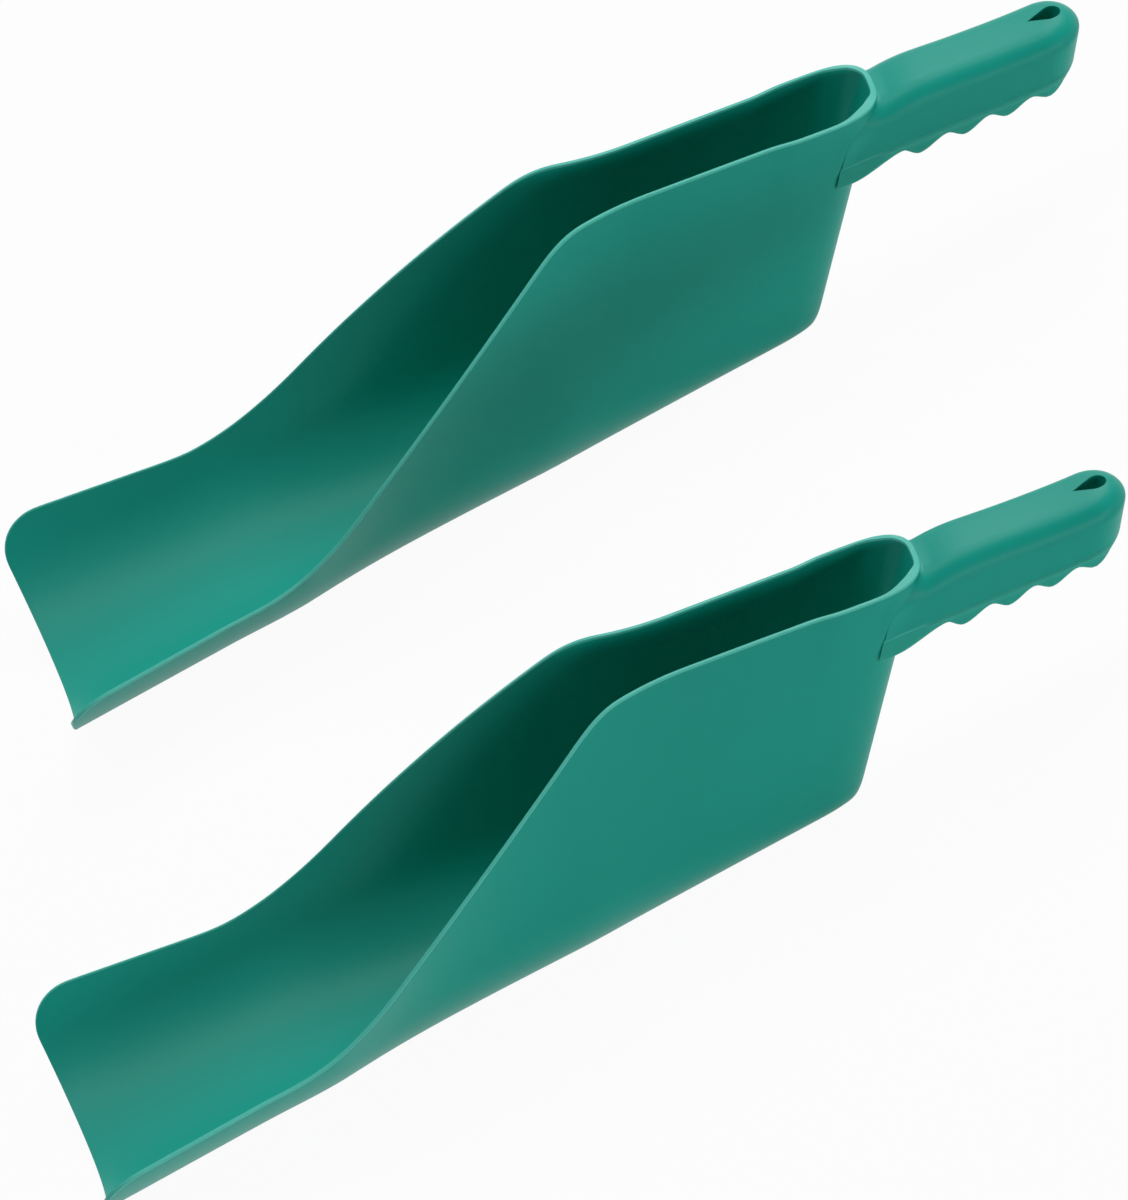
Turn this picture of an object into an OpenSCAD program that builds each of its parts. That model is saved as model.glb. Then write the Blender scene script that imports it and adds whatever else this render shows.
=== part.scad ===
// Pair of moulded plastic gutter scoops.
// Each scoop is one thin shell, a trough with a hollow handle, and a grip insert
// that closes the underside of the handle. Millimetres, +Z up, keels on the ground.

/* [Trough length] */
// Length of the keel, from the tip to the foot of the back wall
keel_l = 283; // [270:1:310]
// How far the back wall leans back for each millimetre of height
back_lean = 0.7; // [0.4:0.02:0.8]
// Length of the rounded back end, measured along the keel
back_round = 20; // [14:0.5:24]
// Radius where the keel turns up into the back wall
heel_r = 3; // [1:0.5:6]

/* [Trough widths] */
// Half width of the blade at the tip
tip_half_w = 58.5; // [50:0.5:64]
// Half width of the blade where it stops narrowing
blade_half_w = 49; // [45:0.5:54]
// Distance from the tip to that place
blade_x = 63; // [50:1:75]
// Distance from the tip to the place where the sides close in
throat_x = 124; // [118:1:130]
// Half width where the pocket begins
pocket_half_w = 15.5; // [13:0.5:19]
// Distance from the tip to the beginning of the pocket
pocket_x = 193; // [186:1:200]
// Half width at the back end
back_half_w = 16; // [15:0.5:19]
// Half width of the flat strip under the back end
flat_half_w = 4; // [3:0.5:6]
// Radius between that strip and the side walls at the back end
bilge_r = 5.5; // [4.5:0.5:8]
// Radius of the two corners of the tip
tip_corner_r = 16; // [8:0.5:20]

/* [Rim heights] */
// Height of the rim at the tip
tip_h = 33; // [26:0.5:38]
// Height of the rim at the foot of the ramp
foot_h = 28.5; // [24:0.5:34]
// Distance from the tip to the foot of the ramp
foot_x = 85; // [78:1:92]
// Height of the rim at the crest of the ramp
crest_h = 92.5; // [86:0.5:98]
// Distance from the tip to the crest of the ramp
crest_x = 180; // [170:1:190]
// Height of the rim at the back end
back_h = 77; // [74:0.5:82]

/* [Handle] */
// Length of the handle behind the trough
handle_l = 84.5; // [78:0.5:110]
// Half width of the handle
handle_half_w = 13.5; // [12.5:0.5:15]
// Height of the handle above its parting plane
handle_h = 18; // [16:0.5:22]
// Radius along the top edges of the handle
handle_round = 11; // [8:0.5:12.5]
// Radius around the top edge of the handle's end
end_round = 8; // [5:0.5:10]
// Height of the parting plane where the handle leaves the trough
handle_z = 57.5; // [54:0.5:59]
// Downward slope of the handle in degrees
handle_droop = 4; // [0:0.2:6]
// How much shorter the handle is at its parting plane than at its top
chin = 5.5; // [3:0.5:8]

/* [Grip insert] */
// Thickness of the insert at the bottom of a finger hollow
insert_t = 2.4; // [2:0.2:4]
// Depth of the finger hollows
scallop_depth = 2.6; // [1:0.2:4]
// Distance between two finger hollows
scallop_pitch = 16; // [12:0.2:17]
// Number of finger hollows
scallops = 4; // [2:1:4]
// Distance from the neck to the first finger hollow
first_scallop = 9.8; // [8:0.1:14]
// How much shorter the insert is at its bottom than at the parting plane
insert_chin = 6; // [2:0.5:8]
// Height of the rib that locates the insert inside the handle
rib_h = 4; // [2:0.5:6]

/* [Hanging hole] */
// Radius of the round end of the hole
hole_r = 3.4; // [2.5:0.1:4]
// Length from the centre of the round end to the point
hole_point = 7.6; // [6:0.2:10]
// Distance from the end of the handle to the centre of the round end
hole_inset = 8.7; // [8:0.1:12]
// Slant of the hole in degrees, along the end of the handle
hole_slant = 20; // [10:1:24]

/* [Walls and fits] */
// Wall thickness of the shell
wall = 2.2; // [2.1:0.1:3]
// Clearance around the locating rib of the insert
clearance = 0.15; // [0.1:0.05:0.4]

/* [The pair] */
// Distance that the front scoop lies ahead of the back one
pair_ahead = 48.5; // [0:0.5:120]
// Distance between the centre lines of the two scoops
pair_apart = 242.5; // [160:0.5:320]

/* [Hidden] */

green = [0.12, 0.50, 0.44];
light_green = [0.26, 0.56, 0.50];

// Reach of the rounding at each corner of the width and rim lines
width_reach = [7, 50, 15];
rim_reach = [22, 7];
// Steps along the tip corner, the trough, the back end, and from keel to rim
tip_steps = 5;
trough_steps = 24;
back_steps = 7;
half_steps = 12;
// Points crowd towards the keel by this power
crowd = 1.8;
// The overlap that makes two solids one
bite = 1;

back_x = keel_l - back_round;
neck_x = keel_l + back_lean * handle_z;
scoop_l = neck_x + handle_l;

// Rounded corner: zero before it, a parabola within reach c, t after it
function knee(t, c) = t < -c ? 0 : t > c ? t : pow(t + c, 2) / (4 * c);
function slope(p, i) = (p[i + 1].y - p[i].y) / (p[i + 1].x - p[i].x);
function total(v) = v * [for (i = v) 1];
// Value at s of straight runs through the points p, each corner rounded over its reach
function chain(s, p, reach) =
    p[0].y + slope(p, 0) * (s - p[0].x)
    + total([for (i = [1:len(p) - 2])
        (slope(p, i) - slope(p, i - 1)) * knee(s - p[i].x, reach[i - 1])]);

function half_width(s) = chain(s,
    [[0, tip_half_w], [blade_x, blade_half_w], [throat_x, blade_half_w],
     [pocket_x, pocket_half_w], [keel_l, back_half_w]], width_reach);
function rim_height(s) = chain(s,
    [[0, tip_h], [foot_x, foot_h], [crest_x, crest_h], [keel_l, back_h]],
    rim_reach);

// A section is a flat strip of half width b, an arc of radius r and a straight wall
// that ends at the rim (w, h). It changes from one open arc at the tip to a deep channel.
function channel_share(s) = min(1, max(0, (s - foot_x) / (keel_l - foot_x)));
function strip(s) = flat_half_w * channel_share(s);
function open_arc_r(w, h) = (w * w + h * h) / (2 * h);
function arc_r(s) =
    let (w = half_width(s) - strip(s), k = channel_share(s))
    open_arc_r(w, rim_height(s)) * (1 - k) + bilge_r * k;
function wall_angle(w, h, r) =
    let (m = norm([w, r - h]), a = asin(min(1, r / m)) - atan2(r - h, w))
    a > 0 ? a : a + 180;
// Point at distance l from the keel along a section, set in from its outside by o
function section_point(w, h, r, b, l, o) =
    let (a = wall_angle(w - b, h, r), turn = min(a, max(0, (l - b) / r * 180 / PI)),
         flat = min(l, b), up = max(0, l - b - r * a * PI / 180))
    [flat + r * sin(turn) + up * cos(turn) - o * sin(turn),
     r * (1 - cos(turn)) + up * sin(turn) + o * cos(turn)];
function section_length(w, h, r, b) =
    let (a = wall_angle(w - b, h, r))
    b + r * a * PI / 180 + norm([w - b - r * sin(a), h - r * (1 - cos(a))]);

// The sheet is cut short near the tip, which rounds its two corners
function corner_cut(s) =
    s < tip_corner_r ? tip_corner_r - sqrt(pow(tip_corner_r, 2) - pow(tip_corner_r - s, 2)) : 0;
// The keel rises into the back wall
function heel_rise(s) =
    let (q = max(0, s - keel_l + heel_r)) heel_r - sqrt(max(0, heel_r * heel_r - q * q));
function leaned(s, z) = s * (1 + back_lean * z / keel_l);

// Each station holds its place on the outside, on the inside, and its share of the width
back_wall_t = wall * sqrt(1 + back_lean * back_lean);
stations = concat(
    [for (i = [0:tip_steps - 1])
        let (s = tip_corner_r * (1 - cos(90 * i / tip_steps))) [s, s, 1]],
    [for (i = [0:trough_steps - 1])
        let (s = tip_corner_r + (back_x - tip_corner_r) * i / trough_steps) [s, s, 1]],
    [for (i = [0:back_steps])
        let (q = 90 * i / back_steps)
        [back_x + back_round * sin(q), back_x + (back_round - back_wall_t) * sin(q), cos(q)]]);

// Point of the trough at a station, at step j from the keel: outside or inside
function trough_point(st, j, inside) =
    let (s = st[0], w = half_width(s), h = rim_height(s), r = arc_r(s), b = strip(s),
         l = (section_length(w, h, r, b) - corner_cut(s)) * pow(abs(j) / half_steps, crowd),
         p = section_point(w, h, r, b, l, inside ? wall : 0),
         z = h - (h - p.y) * (1 - heel_rise(s) / h))
    [leaned(inside ? st[1] : s, z), sign(j) * p.x * st[2], z];

module trough() {
    rows = len(stations);
    cols = 2 * half_steps + 1;
    last = rows - 1;
    side = last * cols + half_steps + 1;
    skin = [for (inside = [false, true]) each [
        for (i = [0:last - 1], j = [-half_steps:half_steps])
            trough_point(stations[i], j, inside),
        for (j = [0:half_steps]) trough_point(stations[last], j, inside)]];
    function o(i, j) = i < last ? i * cols + j + half_steps : last * cols + abs(j);
    function n(i, j) = side + o(i, j);
    walls = [for (i = [0:last - 1], j = [-half_steps:half_steps - 1]) each [
        [o(i, j), o(i + 1, j), o(i + 1, j + 1)], [o(i, j), o(i + 1, j + 1), o(i, j + 1)],
        [n(i, j), n(i + 1, j + 1), n(i + 1, j)], [n(i, j), n(i, j + 1), n(i + 1, j + 1)]]];
    h = half_steps;
    rims = [for (i = [0:last - 1]) each [
        [n(i, h), o(i, h), o(i + 1, h)], [n(i, h), o(i + 1, h), n(i + 1, h)],
        [o(i, -h), n(i, -h), n(i + 1, -h)], [o(i, -h), n(i + 1, -h), o(i + 1, -h)]]];
    lip = [for (j = [-h:h - 1]) each [
        [o(0, j), o(0, j + 1), n(0, j + 1)], [o(0, j), n(0, j + 1), n(0, j)]]];
    polyhedron(skin, concat(walls, rims, lip));
}

// The pocket, filled out to distance o outside its back wall: it trims the handle
module pocket_fill(o) {
    back = back_round + o * back_wall_t / wall;
    hull() for (z = [handle_z / 2, back_h + handle_h], ahead = [0, back_round])
        translate([leaned(keel_l, z) - back_round - ahead, 0, z])
            resize([2 * back, 2 * (back_half_w + o), bite])
                cylinder(r = back_half_w, h = bite, $fn = 48);
}

// The handle's own frame: origin on the parting plane at the neck, X along the handle
module at_neck() {
    translate([neck_x, 0, handle_z]) rotate([0, handle_droop, 0]) children();
}

// Outline of the handle on its parting plane, set in by o
module grip_outline(o) {
    r = handle_half_w - o;
    hull() {
        translate([-handle_round - back_round, -r]) square([bite, 2 * r]);
        translate([handle_l - chin - handle_half_w, 0]) circle(r, $fn = 64);
    }
}

// Solid of the handle above its parting plane, set in by o
module handle_body(o) {
    intersection() {
        hull() {
            for (side = [-1, 1])
                translate([-back_round, side * (handle_half_w - handle_round), handle_h - handle_round])
                    sphere(handle_round - o, $fn = 32);
            translate([handle_l - handle_half_w, 0, handle_h - end_round])
                rotate_extrude($fn = 48) intersection() {
                    translate([handle_half_w - end_round, 0]) circle(end_round - o, $fn = 32);
                    translate([0, -end_round]) square([handle_half_w, 2 * end_round]);
                }
            linear_extrude(bite) grip_outline(o);
        }
        translate([-handle_l, -handle_half_w, 0])
            cube([2 * handle_l, 2 * handle_half_w, handle_h]);
    }
}

module hole_outline(grow) {
    r = hole_r + grow;
    tip = hole_point + grow * hole_point / hole_r;
    foot = acos(r / tip);
    circle(r, $fn = 48);
    polygon([[-tip, 0], [-r * cos(foot), r * sin(foot)], [0, 0], [-r * cos(foot), -r * sin(foot)]]);
}

// The hanging hole runs along the slanted end of the handle
module hanging_hole(grow) {
    reach = 2 * handle_h;
    translate([handle_l - hole_inset, 0, handle_h]) rotate([0, hole_slant, 0])
        translate([0, 0, -reach]) linear_extrude(2 * reach) hole_outline(grow);
}

module handle_hollow() {
    difference() {
        union() {
            handle_body(wall);
            translate([0, 0, -bite]) linear_extrude(2 * bite) grip_outline(wall);
        }
        hanging_hole(wall);
        translate([-2 * handle_l, -handle_half_w, -handle_h])
            cube([2 * handle_l + wall, 2 * handle_half_w, 3 * handle_h]);
    }
}

module shell() {
    color(green) {
        trough();
        difference() {
            at_neck() difference() {
                handle_body(0);
                handle_hollow();
                hanging_hole(0);
            }
            pocket_fill(-wall / 2);
        }
    }
}

function scallop_z(x) =
    let (q = (x - first_scallop) / scallop_pitch)
    -insert_t - scallop_depth * (q < -0.5 || q > scallops - 0.5 ? 1 : (1 - cos(360 * q)) / 2);

// Side view of the insert: flat on top, finger hollows below
module insert_profile() {
    step = scallop_pitch / 12;
    polygon(concat([[-handle_l, 0]],
        [for (x = [first_scallop - scallop_pitch / 2:step:first_scallop + scallops * scallop_pitch])
            [x, scallop_z(x)]],
        [[handle_l, -insert_t - scallop_depth], [handle_l, 0]]));
}

// Band of the insert below the parting plane, slanted in at its end
module insert_band() {
    drop = insert_t + scallop_depth;
    intersection() {
        rotate([90, 0, 0]) linear_extrude(4 * handle_half_w, center = true) insert_profile();
        hull() {
            translate([0, 0, -bite]) linear_extrude(bite) grip_outline(0);
            translate([-insert_chin, 0, -drop]) linear_extrude(bite) grip_outline(0);
        }
    }
}

// Rib around the top of the insert: it sits inside the hollow handle and
// stops short of the wall around the hanging hole
module insert_rib() {
    difference() {
        linear_extrude(rib_h) difference() {
            grip_outline(wall + clearance);
            grip_outline(2 * wall);
            translate([-2 * handle_l, -handle_half_w])
                square([2 * handle_l + wall + clearance, 2 * handle_half_w]);
        }
        hanging_hole(wall + clearance);
    }
}

module grip_insert() {
    color(light_green) difference() {
        at_neck() difference() {
            union() {
                insert_band();
                insert_rib();
            }
            hanging_hole(0);
        }
        pocket_fill(clearance);
    }
}

module back_place() {
    translate([pair_ahead - scoop_l, pair_apart, 0] / 2) children();
}

module front_place() {
    translate([-pair_ahead - scoop_l, -pair_apart, 0] / 2) children();
}

module back_scoop_shell() {
    back_place() shell();
}

module back_scoop_grip_insert() {
    back_place() grip_insert();
}

module front_scoop_shell() {
    front_place() shell();
}

module front_scoop_grip_insert() {
    front_place() grip_insert();
}

back_scoop_shell();
back_scoop_grip_insert();
front_scoop_shell();
front_scoop_grip_insert();
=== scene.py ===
import math

import bmesh
import bpy
from mathutils import Matrix, Vector
from mathutils.bvhtree import BVHTree


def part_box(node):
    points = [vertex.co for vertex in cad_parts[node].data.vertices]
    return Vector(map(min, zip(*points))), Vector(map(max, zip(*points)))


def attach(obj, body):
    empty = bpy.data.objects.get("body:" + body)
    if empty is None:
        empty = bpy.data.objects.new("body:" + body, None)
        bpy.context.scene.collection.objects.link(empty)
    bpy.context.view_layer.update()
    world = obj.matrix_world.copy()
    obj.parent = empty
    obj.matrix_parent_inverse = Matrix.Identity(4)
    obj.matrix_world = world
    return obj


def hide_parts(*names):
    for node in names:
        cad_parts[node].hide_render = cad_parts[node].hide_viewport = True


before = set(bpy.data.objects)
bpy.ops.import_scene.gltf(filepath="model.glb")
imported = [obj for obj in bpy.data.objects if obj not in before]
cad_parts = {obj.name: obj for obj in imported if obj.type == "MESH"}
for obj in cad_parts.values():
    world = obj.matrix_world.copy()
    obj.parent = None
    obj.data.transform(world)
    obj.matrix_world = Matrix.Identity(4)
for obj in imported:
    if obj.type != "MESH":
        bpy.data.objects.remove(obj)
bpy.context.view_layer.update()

mm = 0.001  # shapes are worked out in millimetres and scaled once, when they are placed


# Trough: one sheet, from the curved tip to the deep pocket

trough = {
    "keelLength": 283, "backLean": 0.7, "backRound": 20, "backSquare": 3.0,
    "heelRadius": 4,
    # (from the tip, half width), and how far each bend between two straight runs reaches
    "widthLine": [(0, 58.5), (63, 49), (124, 49), (193, 15.5), (283, 16)],
    "widthReach": [7, 50, 15],
    # (from the tip, rim height), and the same
    "rimLine": [(0, 33), (85, 28.5), (180, 92.5), (283, 77)],
    "rimReach": [22, 7],
    "keelFlat": 4, "bilgeRadius": 5.5, "tipCorner": 16,
    "keelWall": 2.4, "rimWall": 1.35, "rimRound": 0.5,
    "tipSteps": 12, "bodySteps": 92, "backSteps": 18, "sideSteps": 32, "keelCrowding": 1.5,
    # the walls swell out around the end of the slot
    "mouthSwell": 1.2, "mouthFrom": 247, "mouthTo": 257,
    # how much thicker the rim is at the two corners of the slot's end, and where that begins
    "cornerWall": 1.5, "cornerFrom": 0.3, "cornerFade": 0.45,
}
backStart = trough["keelLength"] - trough["backRound"]


def softCorner(t, reach):  # 0 before the corner and t after it
    if t < -reach:
        return 0
    return t if t > reach else (t + reach) ** 2 / (4 * reach)


def along(s, points, reaches):  # straight runs through the points, with rounded corners
    slopes = [(b[1] - a[1]) / (b[0] - a[0]) for a, b in zip(points, points[1:])]
    value = points[0][1] + slopes[0] * (s - points[0][0])
    for k, reach in enumerate(reaches):
        value += (slopes[k + 1] - slopes[k]) * softCorner(s - points[k + 1][0], reach)
    return value


def ease(t):  # from 0 to 1 with a soft start and end
    t = min(1, max(0, t))
    return t * t * (3 - 2 * t)


def halfWidth(s):
    return along(s, trough["widthLine"], trough["widthReach"])


def rimHeight(s):
    return along(s, trough["rimLine"], trough["rimReach"])


def sectionPoint(s, share):  # share 0 is the keel and 1 the rim, over the outside of the sheet
    w, h = halfWidth(s), rimHeight(s)
    foot = trough["rimLine"][1][0]
    channel = min(1, max(0, (s - foot) / (trough["keelLength"] - foot)))
    flat = trough["keelFlat"] * channel
    reach = w - flat
    radius = (reach ** 2 + h ** 2) / (2 * h) * (1 - channel) + trough["bilgeRadius"] * channel
    turn = math.asin(min(1, radius / math.hypot(reach, radius - h))) - math.atan2(radius - h, reach)
    turn += math.pi if turn <= 0 else 0
    wallRun = math.hypot(reach - radius * math.sin(turn), h - radius * (1 - math.cos(turn)))
    corner = trough["tipCorner"]
    cut = corner - math.sqrt(corner ** 2 - (corner - s) ** 2) if s < corner else 0
    run = (flat + radius * turn + wallRun - cut) * share ** trough["keelCrowding"]
    bent = min(turn, max(0, (run - flat) / radius))
    rest = max(0, run - flat - radius * turn)
    y = min(run, flat) + radius * math.sin(bent) + rest * math.cos(bent)
    z = radius * (1 - math.cos(bent)) + rest * math.sin(bent)
    swell = ease((s - trough["mouthFrom"]) / (trough["mouthTo"] - trough["mouthFrom"]))
    return y + trough["mouthSwell"] * swell * (z / h) ** 3, z


def station(i):  # place along the keel, and what is left of the width there
    tip, body, back = trough["tipSteps"], trough["bodySteps"], trough["backSteps"]
    corner = trough["tipCorner"]
    if i <= tip:
        return corner * (1 - math.cos(math.pi / 2 * i / tip)), 1
    if i <= tip + body:
        return corner + (backStart - corner) * (i - tip) / body, 1
    q = math.pi / 2 * (i - tip - body) / back
    power = 2 / trough["backSquare"]
    return backStart + trough["backRound"] * math.sin(q) ** power, max(0, math.cos(q)) ** power


def leaned(s, z):  # the back leans out, and the sheet stretches evenly with it
    return s * (1 + trough["backLean"] * z / trough["keelLength"])


def troughPoint(i, side):  # side runs from -1, the near rim, over the keel to 1, the far rim
    s, left = station(i)
    y, z = sectionPoint(s, abs(side))
    heel, h = trough["heelRadius"], rimHeight(s)
    q = max(0, s - trough["keelLength"] + heel)
    rise = heel - math.sqrt(max(0, heel ** 2 - q ** 2))
    z = h - (h - z) * (1 - rise / h)
    return Vector((leaned(s, z), math.copysign(y, side) * left, z))


def outerSheet():
    stations = trough["tipSteps"] + trough["bodySteps"] + trough["backSteps"]
    bm = bmesh.new()
    bmesh.ops.create_grid(bm, x_segments=stations, y_segments=2 * trough["sideSteps"], size=0.5)
    for v in bm.verts:
        v.co = troughPoint(round((v.co.x + 0.5) * stations), round(v.co.y * 2, 6))
    bmesh.ops.remove_doubles(bm, verts=bm.verts, dist=0.001)
    bmesh.ops.recalc_face_normals(bm, faces=bm.faces)
    bm.normal_update()
    keel = min(bm.verts, key=lambda v: v.co.z)
    if keel.normal.z > 0:
        bmesh.ops.reverse_faces(bm, faces=bm.faces)
        bm.normal_update()
    return bm


def wallAt(co):  # thick at the keel, thinner at the rim
    s = co.x / (1 + trough["backLean"] * co.z / trough["keelLength"])
    share = min(1, co.z / rimHeight(s))
    corner = min(abs(co.y) / halfWidth(backStart), (s - backStart) / trough["backRound"])
    nearCorner = ease((corner - trough["cornerFrom"]) / trough["cornerFade"])
    extra = trough["cornerWall"] * nearCorner * ease(share * 3 - 2)  # in the top third only
    return trough["keelWall"] + (trough["rimWall"] - trough["keelWall"]) * share + extra


def giveWall(bm, outerMoves):
    outer = list(bm.verts)
    inner = bmesh.ops.duplicate(bm, geom=bm.verts[:] + bm.edges[:] + bm.faces[:])["geom"]
    innerFaces = [g for g in inner if isinstance(g, bmesh.types.BMFace)]
    innerVerts = [g for g in inner if isinstance(g, bmesh.types.BMVert)]
    for v in innerVerts:
        v.co -= v.normal * wallAt(v.co)
    bmesh.ops.reverse_faces(bm, faces=innerFaces)
    for v, move in zip(outer, outerMoves):
        v.co += move
    rimEdges = [e for e in bm.edges if e.is_boundary]
    strip = bmesh.ops.bridge_loops(bm, edges=rimEdges)["faces"]
    # the rim strip and its rounding take material 1, the lighter rim finish: a painted highlight
    # along the rims
    for f in strip:
        f.material_index = 1
    made = bmesh.ops.bevel(bm, geom=rimEdges, affect="EDGES", offset=trough["rimRound"],
                           segments=2, profile=0.5, material=-1, clamp_overlap=True)
    for f in made["faces"]:
        f.material_index = 1


# Handle: a rounded bar, flat below where the grip insert closes it

handle = {
    "length": 84.5, "halfWidth": 13.5, "height": 18, "chin": 5.5, "droop": 4,
    "neckHeight": 57.5, "edgeRound": 7.5, "crown": 0.3, "lowerEdge": 0.12,
    "flare": 1.5, "flareLength": 45,  # wider towards the neck
    # higher towards the neck, then level with the rim
    "hump": 3.3, "humpFull": 6, "humpEnd": 70, "dip": 2.4, "dipFrom": 12, "dipLength": 17,
    # the seam with the insert climbs towards the neck
    "seam": 0.3, "seamRise": 2.7, "seamLength": 52, "seamBend": 1.3,
    "straightSteps": 40, "arcSteps": 28, "wallSteps": 7, "roundSteps": 10, "topSteps": 6,
    "neckSteps": 17, "neckCrowding": 1.6,
    # the neck end is turned back inside the bar: how far, how wide, and (height kept, lift)
    "recess": 10, "neckWidth": 0.9, "neckSqueeze": (0.8, 3),
    "sideFillet": 2.5, "topFillet": 5, "filletFrom": 4, "filletFade": 10,
}
neckX = trough["keelLength"] + trough["backLean"] * handle["neckHeight"]
endCentre = handle["length"] - handle["halfWidth"]
toScoop = (Matrix.Translation((neckX, 0, handle["neckHeight"]))
           @ Matrix.Rotation(math.radians(handle["droop"]), 4, "Y"))


def neckStart(y, z):  # where the bar begins, in the middle of the back wall of the trough
    side, power = min(1, abs(y) / halfWidth(backStart)), trough["backSquare"]
    s = backStart + trough["backRound"] * (1 - side ** power) ** (1 / power)
    x = 0
    for _ in range(4):
        spot = toScoop @ Vector((x, y, z))
        x += leaned(s, spot.z) - trough["rimWall"] / 2 - spot.x
    return x


def seamAt(x):
    left = max(0, 1 - max(0, x) / handle["seamLength"])
    return handle["seam"] + handle["seamRise"] * left ** handle["seamBend"]


def topAt(x):
    hump = handle["hump"] * ease((handle["humpEnd"] - x) / (handle["humpEnd"] - handle["humpFull"]))
    clearance = min(1, max(0, 1 - (x - handle["dipFrom"]) / handle["dipLength"]))
    return handle["height"] + hump - handle["dip"] * clearance ** 2


def outlinePoint(i, steps, inset, z, centre, neckZ):  # along one side, round the end and back
    straight, arc = steps
    r = handle["halfWidth"] - inset
    if straight <= i <= straight + arc:
        q = math.pi * ((i - straight) / arc - 0.5)
        return Vector((centre + r * math.cos(q), r * math.sin(q), z))
    far = i > straight
    t = ((2 * straight + arc - i) if far else i) / straight
    start = neckStart(r, neckZ)
    x = start + (centre - start) * t ** handle["neckCrowding"]
    r *= 1 + handle["flare"] / handle["halfWidth"] * ease(1 - x / handle["flareLength"])
    return Vector((x + (neckStart(r, neckZ) - start) * (1 - t), r if far else -r, z))


def shellPoint(i, j):
    h, wall, bend = handle["height"], handle["wallSteps"], handle["roundSteps"]
    steps = handle["straightSteps"], handle["arcSteps"]
    r = handle["edgeRound"]
    if j <= wall:
        inset, z = 0, (h - r) * j / wall
    elif j <= wall + bend:
        q = math.pi / 2 * (j - wall) / bend
        inset, z = r * (1 - math.cos(q)), h - r + r * math.sin(q)
    else:
        inset = r + (handle["halfWidth"] - r) * (j - wall - bend) / handle["topSteps"]
        z = h
    z -= handle["crown"] * ease(1 - inset / handle["halfWidth"]) * z / h
    slant = handle["chin"] * max(0, 1 - z / (h - r))
    atNeck = seamAt(0) + (topAt(0) - seamAt(0)) * z / h
    spot = outlinePoint(i, steps, inset, z, endCentre - slant, atNeck)
    seam, top = seamAt(spot.x), topAt(spot.x)
    spot.z = seam + (top - seam) * z / h
    return spot


# A grid bent over the bar, closed below and at the neck
def closedBar(pointAt, stepsAlong, stepsAcross, paintedHighlightRows=0):
    bm = bmesh.new()
    bmesh.ops.create_grid(bm, x_segments=stepsAlong, y_segments=stepsAcross, size=0.5)
    lower = {v for v in bm.verts if v.co.y < -0.499}  # the first row
    # the first rows take material 1; on the grip insert that is the lighter seam finish, a painted
    # highlight on the ledge
    for f in bm.faces:
        f.material_index = int(f.calc_center_median().y + 0.5 < paintedHighlightRows / stepsAcross)
    for v in bm.verts:
        v.co = pointAt(round((v.co.x + 0.5) * stepsAlong), round((v.co.y + 0.5) * stepsAcross))
    bmesh.ops.remove_doubles(bm, verts=bm.verts, dist=0.001)
    rim = [e for e in bm.edges if e.is_boundary]
    flat = [e for e in rim if lower.issuperset(e.verts)]
    neck = [e for e in rim if e not in flat]
    corners = [v for v in bm.verts if sum(e in flat for e in v.link_edges) == 1]
    corners.sort(key=lambda v: -v.co.y)  # in one order, so that the fill is the same each run
    bmesh.ops.contextual_create(bm, geom=corners)
    made = bmesh.ops.subdivide_edges(bm, edges=[e for e in bm.edges if e.is_wire],
                                     cuts=handle["neckSteps"] - 1)
    for v in made["geom_inner"]:  # the line across follows the back wall of the trough
        if isinstance(v, bmesh.types.BMVert):
            v.co.x = neckStart(v.co.y, v.co.z)
    across = [e for e in bm.edges if e.is_wire]
    bmesh.ops.edgeloop_fill(bm, edges=flat + across)
    bmesh.ops.edgeloop_fill(bm, edges=neck + across)
    bmesh.ops.recalc_face_normals(bm, faces=bm.faces)
    return bm, flat


def drawInNeck(bm, shrink, lift):  # so that the neck end stays inside the wall of the trough
    cap = max((f for f in bm.faces if f.normal.x < -0.5), key=lambda f: len(f.verts))
    inner = bmesh.ops.extrude_face_region(bm, geom=[cap])["geom"]
    bmesh.ops.delete(bm, geom=[cap], context="FACES_KEEP_BOUNDARY")
    toHandle = toScoop.inverted()
    for v in inner:
        if isinstance(v, bmesh.types.BMVert):
            spot = toHandle @ v.co
            v.co = toScoop @ Vector((spot.x + handle["recess"], spot.y * handle["neckWidth"],
                                     spot.z * shrink + lift))
    bmesh.ops.recalc_face_normals(bm, faces=bm.faces)


def handleShell():
    bm, lowerEdges = closedBar(shellPoint, 2 * handle["straightSteps"] + handle["arcSteps"],
                               handle["wallSteps"] + handle["roundSteps"] + handle["topSteps"])
    bmesh.ops.bevel(bm, geom=lowerEdges, affect="EDGES", offset=handle["lowerEdge"],
                    segments=2, profile=0.5, material=-1, clamp_overlap=True)
    bmesh.ops.transform(bm, matrix=toScoop, verts=bm.verts)
    bm.normal_update()
    return bm


# Grip insert: the strip with the finger hollows below the bar

grip = {
    # how far it stands out below the seam, and (from, over) where that starts and stops
    "proud": 0.7, "proudFade": 2.8, "proudStart": (1, 10), "proudStop": (4, 14),
    "edge": 1.1, "endSlant": 1.5, "fullDepth": 2.5,
    # (inset, share of proud, depth) of each line of the ledge at the seam
    "ledge": [(0.35, 0, -0.65), (0.05, 0, -0.35), (0, 0.6, 0.15), (0, 1, 0.6)],
    # (along the handle, depth below its axis) of each finger hollow and each ridge between two
    "wave": [(-6, -4.8), (12.2, -0.8), (19.3, -4.6), (29, -1.8), (35.8, -5.3), (45, -2.3),
             (51, -5.4), (61, -2.4), (66.7, -5.0), (80, -0.3)],
    "straightSteps": 84, "arcSteps": 24, "wallSteps": 3, "roundSteps": 4, "bottomSteps": 5,
    "neckSqueeze": (0.25, 0.6),  # (height kept, lift) of the neck end inside the strip
}
ledgeSteps = len(grip["ledge"]) - 1


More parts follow.
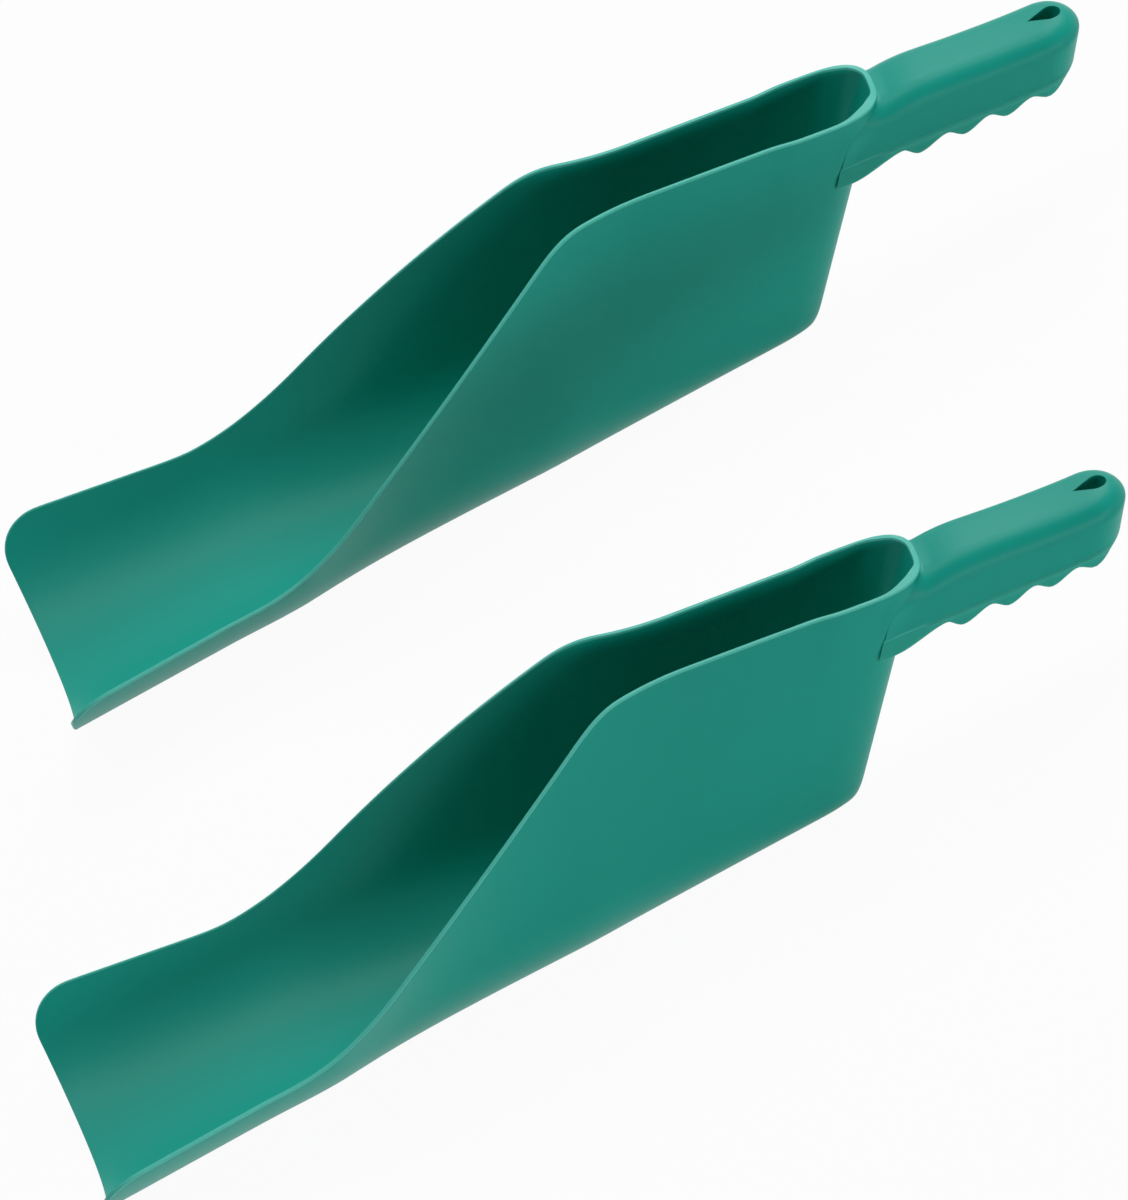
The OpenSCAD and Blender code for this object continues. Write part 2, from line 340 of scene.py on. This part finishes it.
def bottomAt(x):
    wave = grip["wave"]
    if x <= wave[0][0]:
        return wave[0][1]
    for (x0, z0), (x1, z1) in zip(wave, wave[1:]):
        if x < x1:
            return z0 + (z1 - z0) * ease((x - x0) / (x1 - x0))
    return wave[-1][1]


def gripPoint(i, j):
    wall, bend = grip["wallSteps"], grip["roundSteps"]
    steps = grip["straightSteps"], grip["arcSteps"]
    centre = endCentre - handle["chin"]
    spot = outlinePoint(i, steps, 0, 0, centre, 0)
    depth = max(0.1, seamAt(spot.x) - bottomAt(spot.x))
    small = min(1, depth / grip["fullDepth"])
    (start, rise), (stop, fall) = grip["proudStart"], grip["proudStop"]
    out = ease((spot.x - start) / rise) * ease((handle["length"] - stop - spot.x) / fall)
    proud = grip["proud"] * small * out
    edge, ledgeEnd = grip["edge"] * small, grip["ledge"][-1][2] * small
    k = j - ledgeSteps
    if k <= 0:
        inset, share, sink = grip["ledge"][j]
        inset, sink = inset - proud * share, sink * small
    elif k <= wall:
        sink = ledgeEnd + (depth - edge - ledgeEnd) * k / wall
        inset = -proud * max(0, 1 - sink / grip["proudFade"])
    elif k <= wall + bend:
        q = math.pi / 2 * (k - wall) / bend
        inset, sink = edge * (1 - math.cos(q)), depth - edge + edge * math.sin(q)
    else:
        inset = edge + (handle["halfWidth"] - edge) * (k - wall - bend) / grip["bottomSteps"]
        sink = depth
    slant = grip["endSlant"] * sink / depth * small
    spot = outlinePoint(i, steps, inset, 0, centre - slant, seamAt(0) - sink)
    spot.z = seamAt(spot.x) - sink
    return spot


def gripInsert():
    stepsAlong = 2 * grip["straightSteps"] + grip["arcSteps"]
    stepsAcross = ledgeSteps + grip["wallSteps"] + grip["roundSteps"] + grip["bottomSteps"]
    # the ledge rows take the lighter seam finish, a painted highlight
    bm, _ = closedBar(gripPoint, stepsAlong, stepsAcross, ledgeSteps)
    bmesh.ops.transform(bm, matrix=toScoop, verts=bm.verts)
    bm.normal_update()
    return bm


# Hanging hole: a teardrop whose point is towards the trough

hole = {"radius": 3.55, "point": 7.8, "inset": 8, "slant": 20, "steps": 28, "reach": 40,
        "sharpAngle": 40}


def holeCutter():
    bm = bmesh.new()
    r, tip, reach = hole["radius"], hole["point"], hole["reach"]
    touch = math.acos(r / tip)
    ring = [bm.verts.new((-tip, 0, -reach))]
    for k in range(hole["steps"] + 1):
        q = math.pi - touch - (2 * math.pi - 2 * touch) * k / hole["steps"]
        ring.append(bm.verts.new((r * math.cos(q), r * math.sin(q), -reach)))
    face = bm.faces.new(ring)
    lifted = bmesh.ops.extrude_face_region(bm, geom=[face])["geom"]
    top = [g for g in lifted if isinstance(g, bmesh.types.BMVert)]
    bmesh.ops.translate(bm, vec=(0, 0, 2 * reach), verts=top)
    bmesh.ops.recalc_face_normals(bm, faces=bm.faces)
    place = (Matrix.Translation((handle["length"] - hole["inset"], 0, handle["height"]))
             @ Matrix.Rotation(math.radians(hole["slant"]), 4, "Y"))
    bmesh.ops.transform(bm, matrix=toScoop @ place, verts=bm.verts)
    return meshObject(bm, "holeCutter")


# Where two surfaces meet, each rises along its normal, which rounds the corner between them

def filletAt(co):
    high = ease((co.z - handle["neckHeight"] - handle["filletFrom"]) / handle["filletFade"])
    return handle["sideFillet"] + (handle["topFillet"] - handle["sideFillet"]) * high


def rises(bm, other, along=1):  # along 0 keeps the move across the handle
    moves = []
    for v in bm.verts:
        reach = filletAt(v.co)
        spot, normal, _, gap = other.find_nearest(v.co, reach)
        if spot is None:
            moves.append(Vector())
            continue
        gap = gap if (v.co - spot).dot(normal) > 0 else 0
        move = v.normal * (reach / 4 * max(0, 1 - gap / reach) ** 2)
        moves.append(Vector((move.x * along, move.y, move.z)))
    return moves


def meshObject(bm, name):
    mesh = bpy.data.meshes.new(name)
    bm.to_mesh(mesh)
    bm.free()
    mesh.shade_smooth()
    piece = bpy.data.objects.new(name, mesh)
    bpy.context.scene.collection.objects.link(piece)
    return piece


def settle(piece):  # the modifiers become part of the mesh
    shown = piece.evaluated_get(bpy.context.evaluated_depsgraph_get())
    mesh = bpy.data.meshes.new_from_object(shown)
    piece.modifiers.clear()
    piece.data = mesh


def roundOff(piece, levels=1):
    smooth = piece.modifiers.new("roundOff", "SUBSURF")
    smooth.levels = smooth.render_levels = levels


def cutHole(piece, cutter):
    cut = piece.modifiers.new("hangingHole", "BOOLEAN")
    cut.operation, cut.solver, cut.object = "DIFFERENCE", "EXACT", cutter
    settle(piece)
    piece.data.set_sharp_from_angle(angle=math.radians(hole["sharpAngle"]))


def oneScoop():
    print("scoop: trough")
    sheet = outerSheet()
    bar = handleShell()
    sheetTree, barTree = BVHTree.FromBMesh(sheet), BVHTree.FromBMesh(bar)
    sheetMoves, barMoves = rises(sheet, barTree), rises(bar, sheetTree, 0)
    giveWall(sheet, sheetMoves)
    for v, move in zip(bar.verts, barMoves):
        v.co += move
    drawInNeck(bar, *handle["neckSqueeze"])
    strip = gripInsert()
    drawInNeck(strip, *grip["neckSqueeze"])
    pieces = {"Trough": meshObject(sheet, "trough"), "Handle": meshObject(bar, "handle"),
              "GripInsert": meshObject(strip, "gripInsert")}
    print("scoop: handle and grip insert")
    roundOff(pieces["Trough"])
    roundOff(pieces["Handle"])
    settle(pieces["Handle"])
    cutter = holeCutter()
    for name in ("Handle", "GripInsert"):
        cutHole(pieces[name], cutter)
    bpy.data.objects.remove(cutter)
    return pieces


# Finish: satin moulded polypropylene

finish = {
    "shell": {"colour": (0.0010, 0.370, 0.288), "cloud": (0.0020, 0.385, 0.300), "roughness": 0.43},
    # the rim finish is lighter than the shell: a painted highlight along the rims
    "rim": {"colour": (0.0900, 0.620, 0.510), "cloud": (0.1000, 0.640, 0.530), "roughness": 0.36},
    # the grip finish is a little lighter and greyer than the shell: painted sheen of the white
    # floor on the strip
    "grip": {"colour": (0.0120, 0.390, 0.300), "cloud": (0.0160, 0.405, 0.312), "roughness": 0.48},
    # the seam finish is lighter than the grip: a painted highlight on the ledge below the seam
    "seam": {"colour": (0.0450, 0.470, 0.375), "cloud": (0.0500, 0.490, 0.390), "roughness": 0.40},
    "gloss": 0.26, "cloudSize": 9, "cloudDetail": 3,
    "grainSize": 1400, "grainDetail": 2, "grainDepth": 0.00002, "grainStrength": 0.6,
    "roughSpread": 0.04,
}


def mouldedPlastic(name, look):
    material = bpy.data.materials.new(name)
    material.use_nodes = True
    nodes, links = material.node_tree.nodes, material.node_tree.links
    shader = nodes["Principled BSDF"]
    shader.inputs["IOR"].default_value = 1.49
    shader.inputs["Specular IOR Level"].default_value = finish["gloss"]
    place = nodes.new("ShaderNodeTexCoord")

    cloud = nodes.new("ShaderNodeTexNoise")
    cloud.inputs["Scale"].default_value = finish["cloudSize"]
    cloud.inputs["Detail"].default_value = finish["cloudDetail"]
    links.new(place.outputs["Object"], cloud.inputs["Vector"])
    tint = nodes.new("ShaderNodeMix")
    tint.data_type = "RGBA"
    tint.inputs["A"].default_value = (*look["colour"], 1)
    tint.inputs["B"].default_value = (*look["cloud"], 1)
    links.new(cloud.outputs["Fac"], tint.inputs["Factor"])
    links.new(tint.outputs["Result"], shader.inputs["Base Color"])

    grain = nodes.new("ShaderNodeTexNoise")
    grain.inputs["Scale"].default_value = finish["grainSize"]
    grain.inputs["Detail"].default_value = finish["grainDetail"]
    links.new(place.outputs["Object"], grain.inputs["Vector"])
    rough = nodes.new("ShaderNodeMapRange")
    rough.inputs["To Min"].default_value = look["roughness"] - finish["roughSpread"]
    rough.inputs["To Max"].default_value = look["roughness"] + finish["roughSpread"]
    links.new(grain.outputs["Fac"], rough.inputs["Value"])
    links.new(rough.outputs["Result"], shader.inputs["Roughness"])
    bump = nodes.new("ShaderNodeBump")
    bump.inputs["Distance"].default_value = finish["grainDepth"]
    bump.inputs["Strength"].default_value = finish["grainStrength"]
    links.new(grain.outputs["Fac"], bump.inputs["Height"])
    links.new(bump.outputs["Normal"], shader.inputs["Normal"])
    return material


# Studio: white floor and surroundings, soft light from above

studio = {
    "floorSize": 12, "floorColour": (0.9, 0.9, 0.9, 1), "floorRoughness": 0.9,
    "floorGlow": 0.95, "worldLight": 0.03,
    "lens": 1200, "aim": (-0.0086, -0.0065, 0.0370), "distance": 13.353,
    "azimuth": 3.968, "elevation": 37.315, "roll": -28.914,
    "lamps": [  # name, place, size, power
        ("key", (1.35, 1.6, 2.4), (2.6, 1.8), 54),
        ("overhead", (0.0, 0.2, 3.0), (3.0, 0.9), 28),
        ("front", (0.9, -3.0, 0.22), (5.0, 0.3), 33),
    ],
}


def whenSeen(nodes, links):  # 1 for what the camera, a gloss or a clear surface sees
    path = nodes.new("ShaderNodeLightPath")
    seen = path.outputs["Is Camera Ray"]
    for ray in ("Is Glossy Ray", "Is Transmission Ray"):
        total = nodes.new("ShaderNodeMath")
        total.operation = "MAXIMUM"
        links.new(seen, total.inputs[0])
        links.new(path.outputs[ray], total.inputs[1])
        seen = total.outputs[0]
    return seen


def makeFloor():
    bm = bmesh.new()
    bmesh.ops.create_grid(bm, x_segments=2, y_segments=2, size=studio["floorSize"])
    floor = meshObject(bm, "floor")
    paint = bpy.data.materials.new("floorPaint")
    paint.use_nodes = True
    nodes, links = paint.node_tree.nodes, paint.node_tree.links
    matt = nodes["Principled BSDF"]
    matt.inputs["Base Color"].default_value = studio["floorColour"]
    matt.inputs["Roughness"].default_value = studio["floorRoughness"]
    glow = nodes.new("ShaderNodeEmission")
    share = nodes.new("ShaderNodeMath")
    share.operation = "MULTIPLY"
    share.inputs[1].default_value = studio["floorGlow"]
    links.new(whenSeen(nodes, links), share.inputs[0])
    blend = nodes.new("ShaderNodeMixShader")
    links.new(share.outputs[0], blend.inputs[0])
    links.new(matt.outputs[0], blend.inputs[1])
    links.new(glow.outputs[0], blend.inputs[2])
    links.new(blend.outputs[0], nodes["Material Output"].inputs["Surface"])
    floor.data.materials.append(paint)


def makeWorld():
    world = bpy.data.worlds.new("studioWorld")
    world.use_nodes = True
    bpy.context.scene.world = world
    nodes, links = world.node_tree.nodes, world.node_tree.links
    sky = nodes["Background"]
    sky.inputs["Color"].default_value = (1, 1, 1, 1)
    level = nodes.new("ShaderNodeMapRange")
    level.inputs["To Min"].default_value = studio["worldLight"]
    level.inputs["To Max"].default_value = 1
    links.new(whenSeen(nodes, links), level.inputs["Value"])
    links.new(level.outputs["Result"], sky.inputs["Strength"])


def makeLamps():  # each is aimed at the middle of the floor
    for name, place, size, power in studio["lamps"]:
        lamp = bpy.data.lights.new(name, "AREA")
        lamp.shape = "RECTANGLE"
        lamp.size, lamp.size_y = size
        lamp.energy = power
        holder = bpy.data.objects.new(name, lamp)
        holder.location = place
        holder.rotation_euler = (-Vector(place)).to_track_quat("-Z", "Y").to_euler()
        bpy.context.scene.collection.objects.link(holder)


def makeCamera():
    camera = bpy.data.cameras.new("camera")
    camera.lens = studio["lens"]
    camera.clip_start, camera.clip_end = 1, 100
    eye = bpy.data.objects.new("camera", camera)
    turn = (Matrix.Rotation(math.radians(studio["azimuth"]), 4, "Z")
            @ Matrix.Rotation(math.radians(90 - studio["elevation"]), 4, "X")
            @ Matrix.Rotation(math.radians(studio["roll"]), 4, "Z"))
    eye.matrix_world = (Matrix.Translation(studio["aim"]) @ turn
                        @ Matrix.Translation((0, 0, studio["distance"])))
    bpy.context.scene.collection.objects.link(eye)
    bpy.context.scene.camera = eye


def placeScoop(pieces, side, finishes):
    low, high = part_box(f"{side}_scoop_shell")
    origin = Vector((low.x, (low.y + high.y) / 2, 0))
    for name, piece in pieces.items():
        copy = piece.copy()
        copy.data = piece.data.copy()
        copy.name = copy.data.name = side + name
        copy.data.transform(Matrix.Translation(origin) @ Matrix.Scale(mm, 4))
        bpy.context.scene.collection.objects.link(copy)
        isGrip = name == "GripInsert"
        # second finishes are painted light: on the shell pieces the rim finish is a painted
        # highlight along the rims, on the grip insert the seam finish is a painted highlight on its
        # ledge
        for look in (("grip", "seam") if isGrip else ("shell", "rim")):
            copy.data.materials.append(finishes[look])
        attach(copy, f"{side}_scoop")
        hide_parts(f"{side}_scoop_grip_insert" if isGrip else f"{side}_scoop_shell")


print("studio")
bpy.context.scene.view_settings.view_transform = "Standard"
makeFloor()
makeWorld()
makeLamps()
makeCamera()
print("one scoop, in millimetres")
scoop = oneScoop()
print("finishes")
finishes = {name: mouldedPlastic(name + "Green", finish[name])
            for name in ("shell", "rim", "grip", "seam")}
print("placing the pair")
for side in ("back", "front"):
    placeScoop(scoop, side, finishes)
for piece in scoop.values():
    bpy.data.objects.remove(piece)
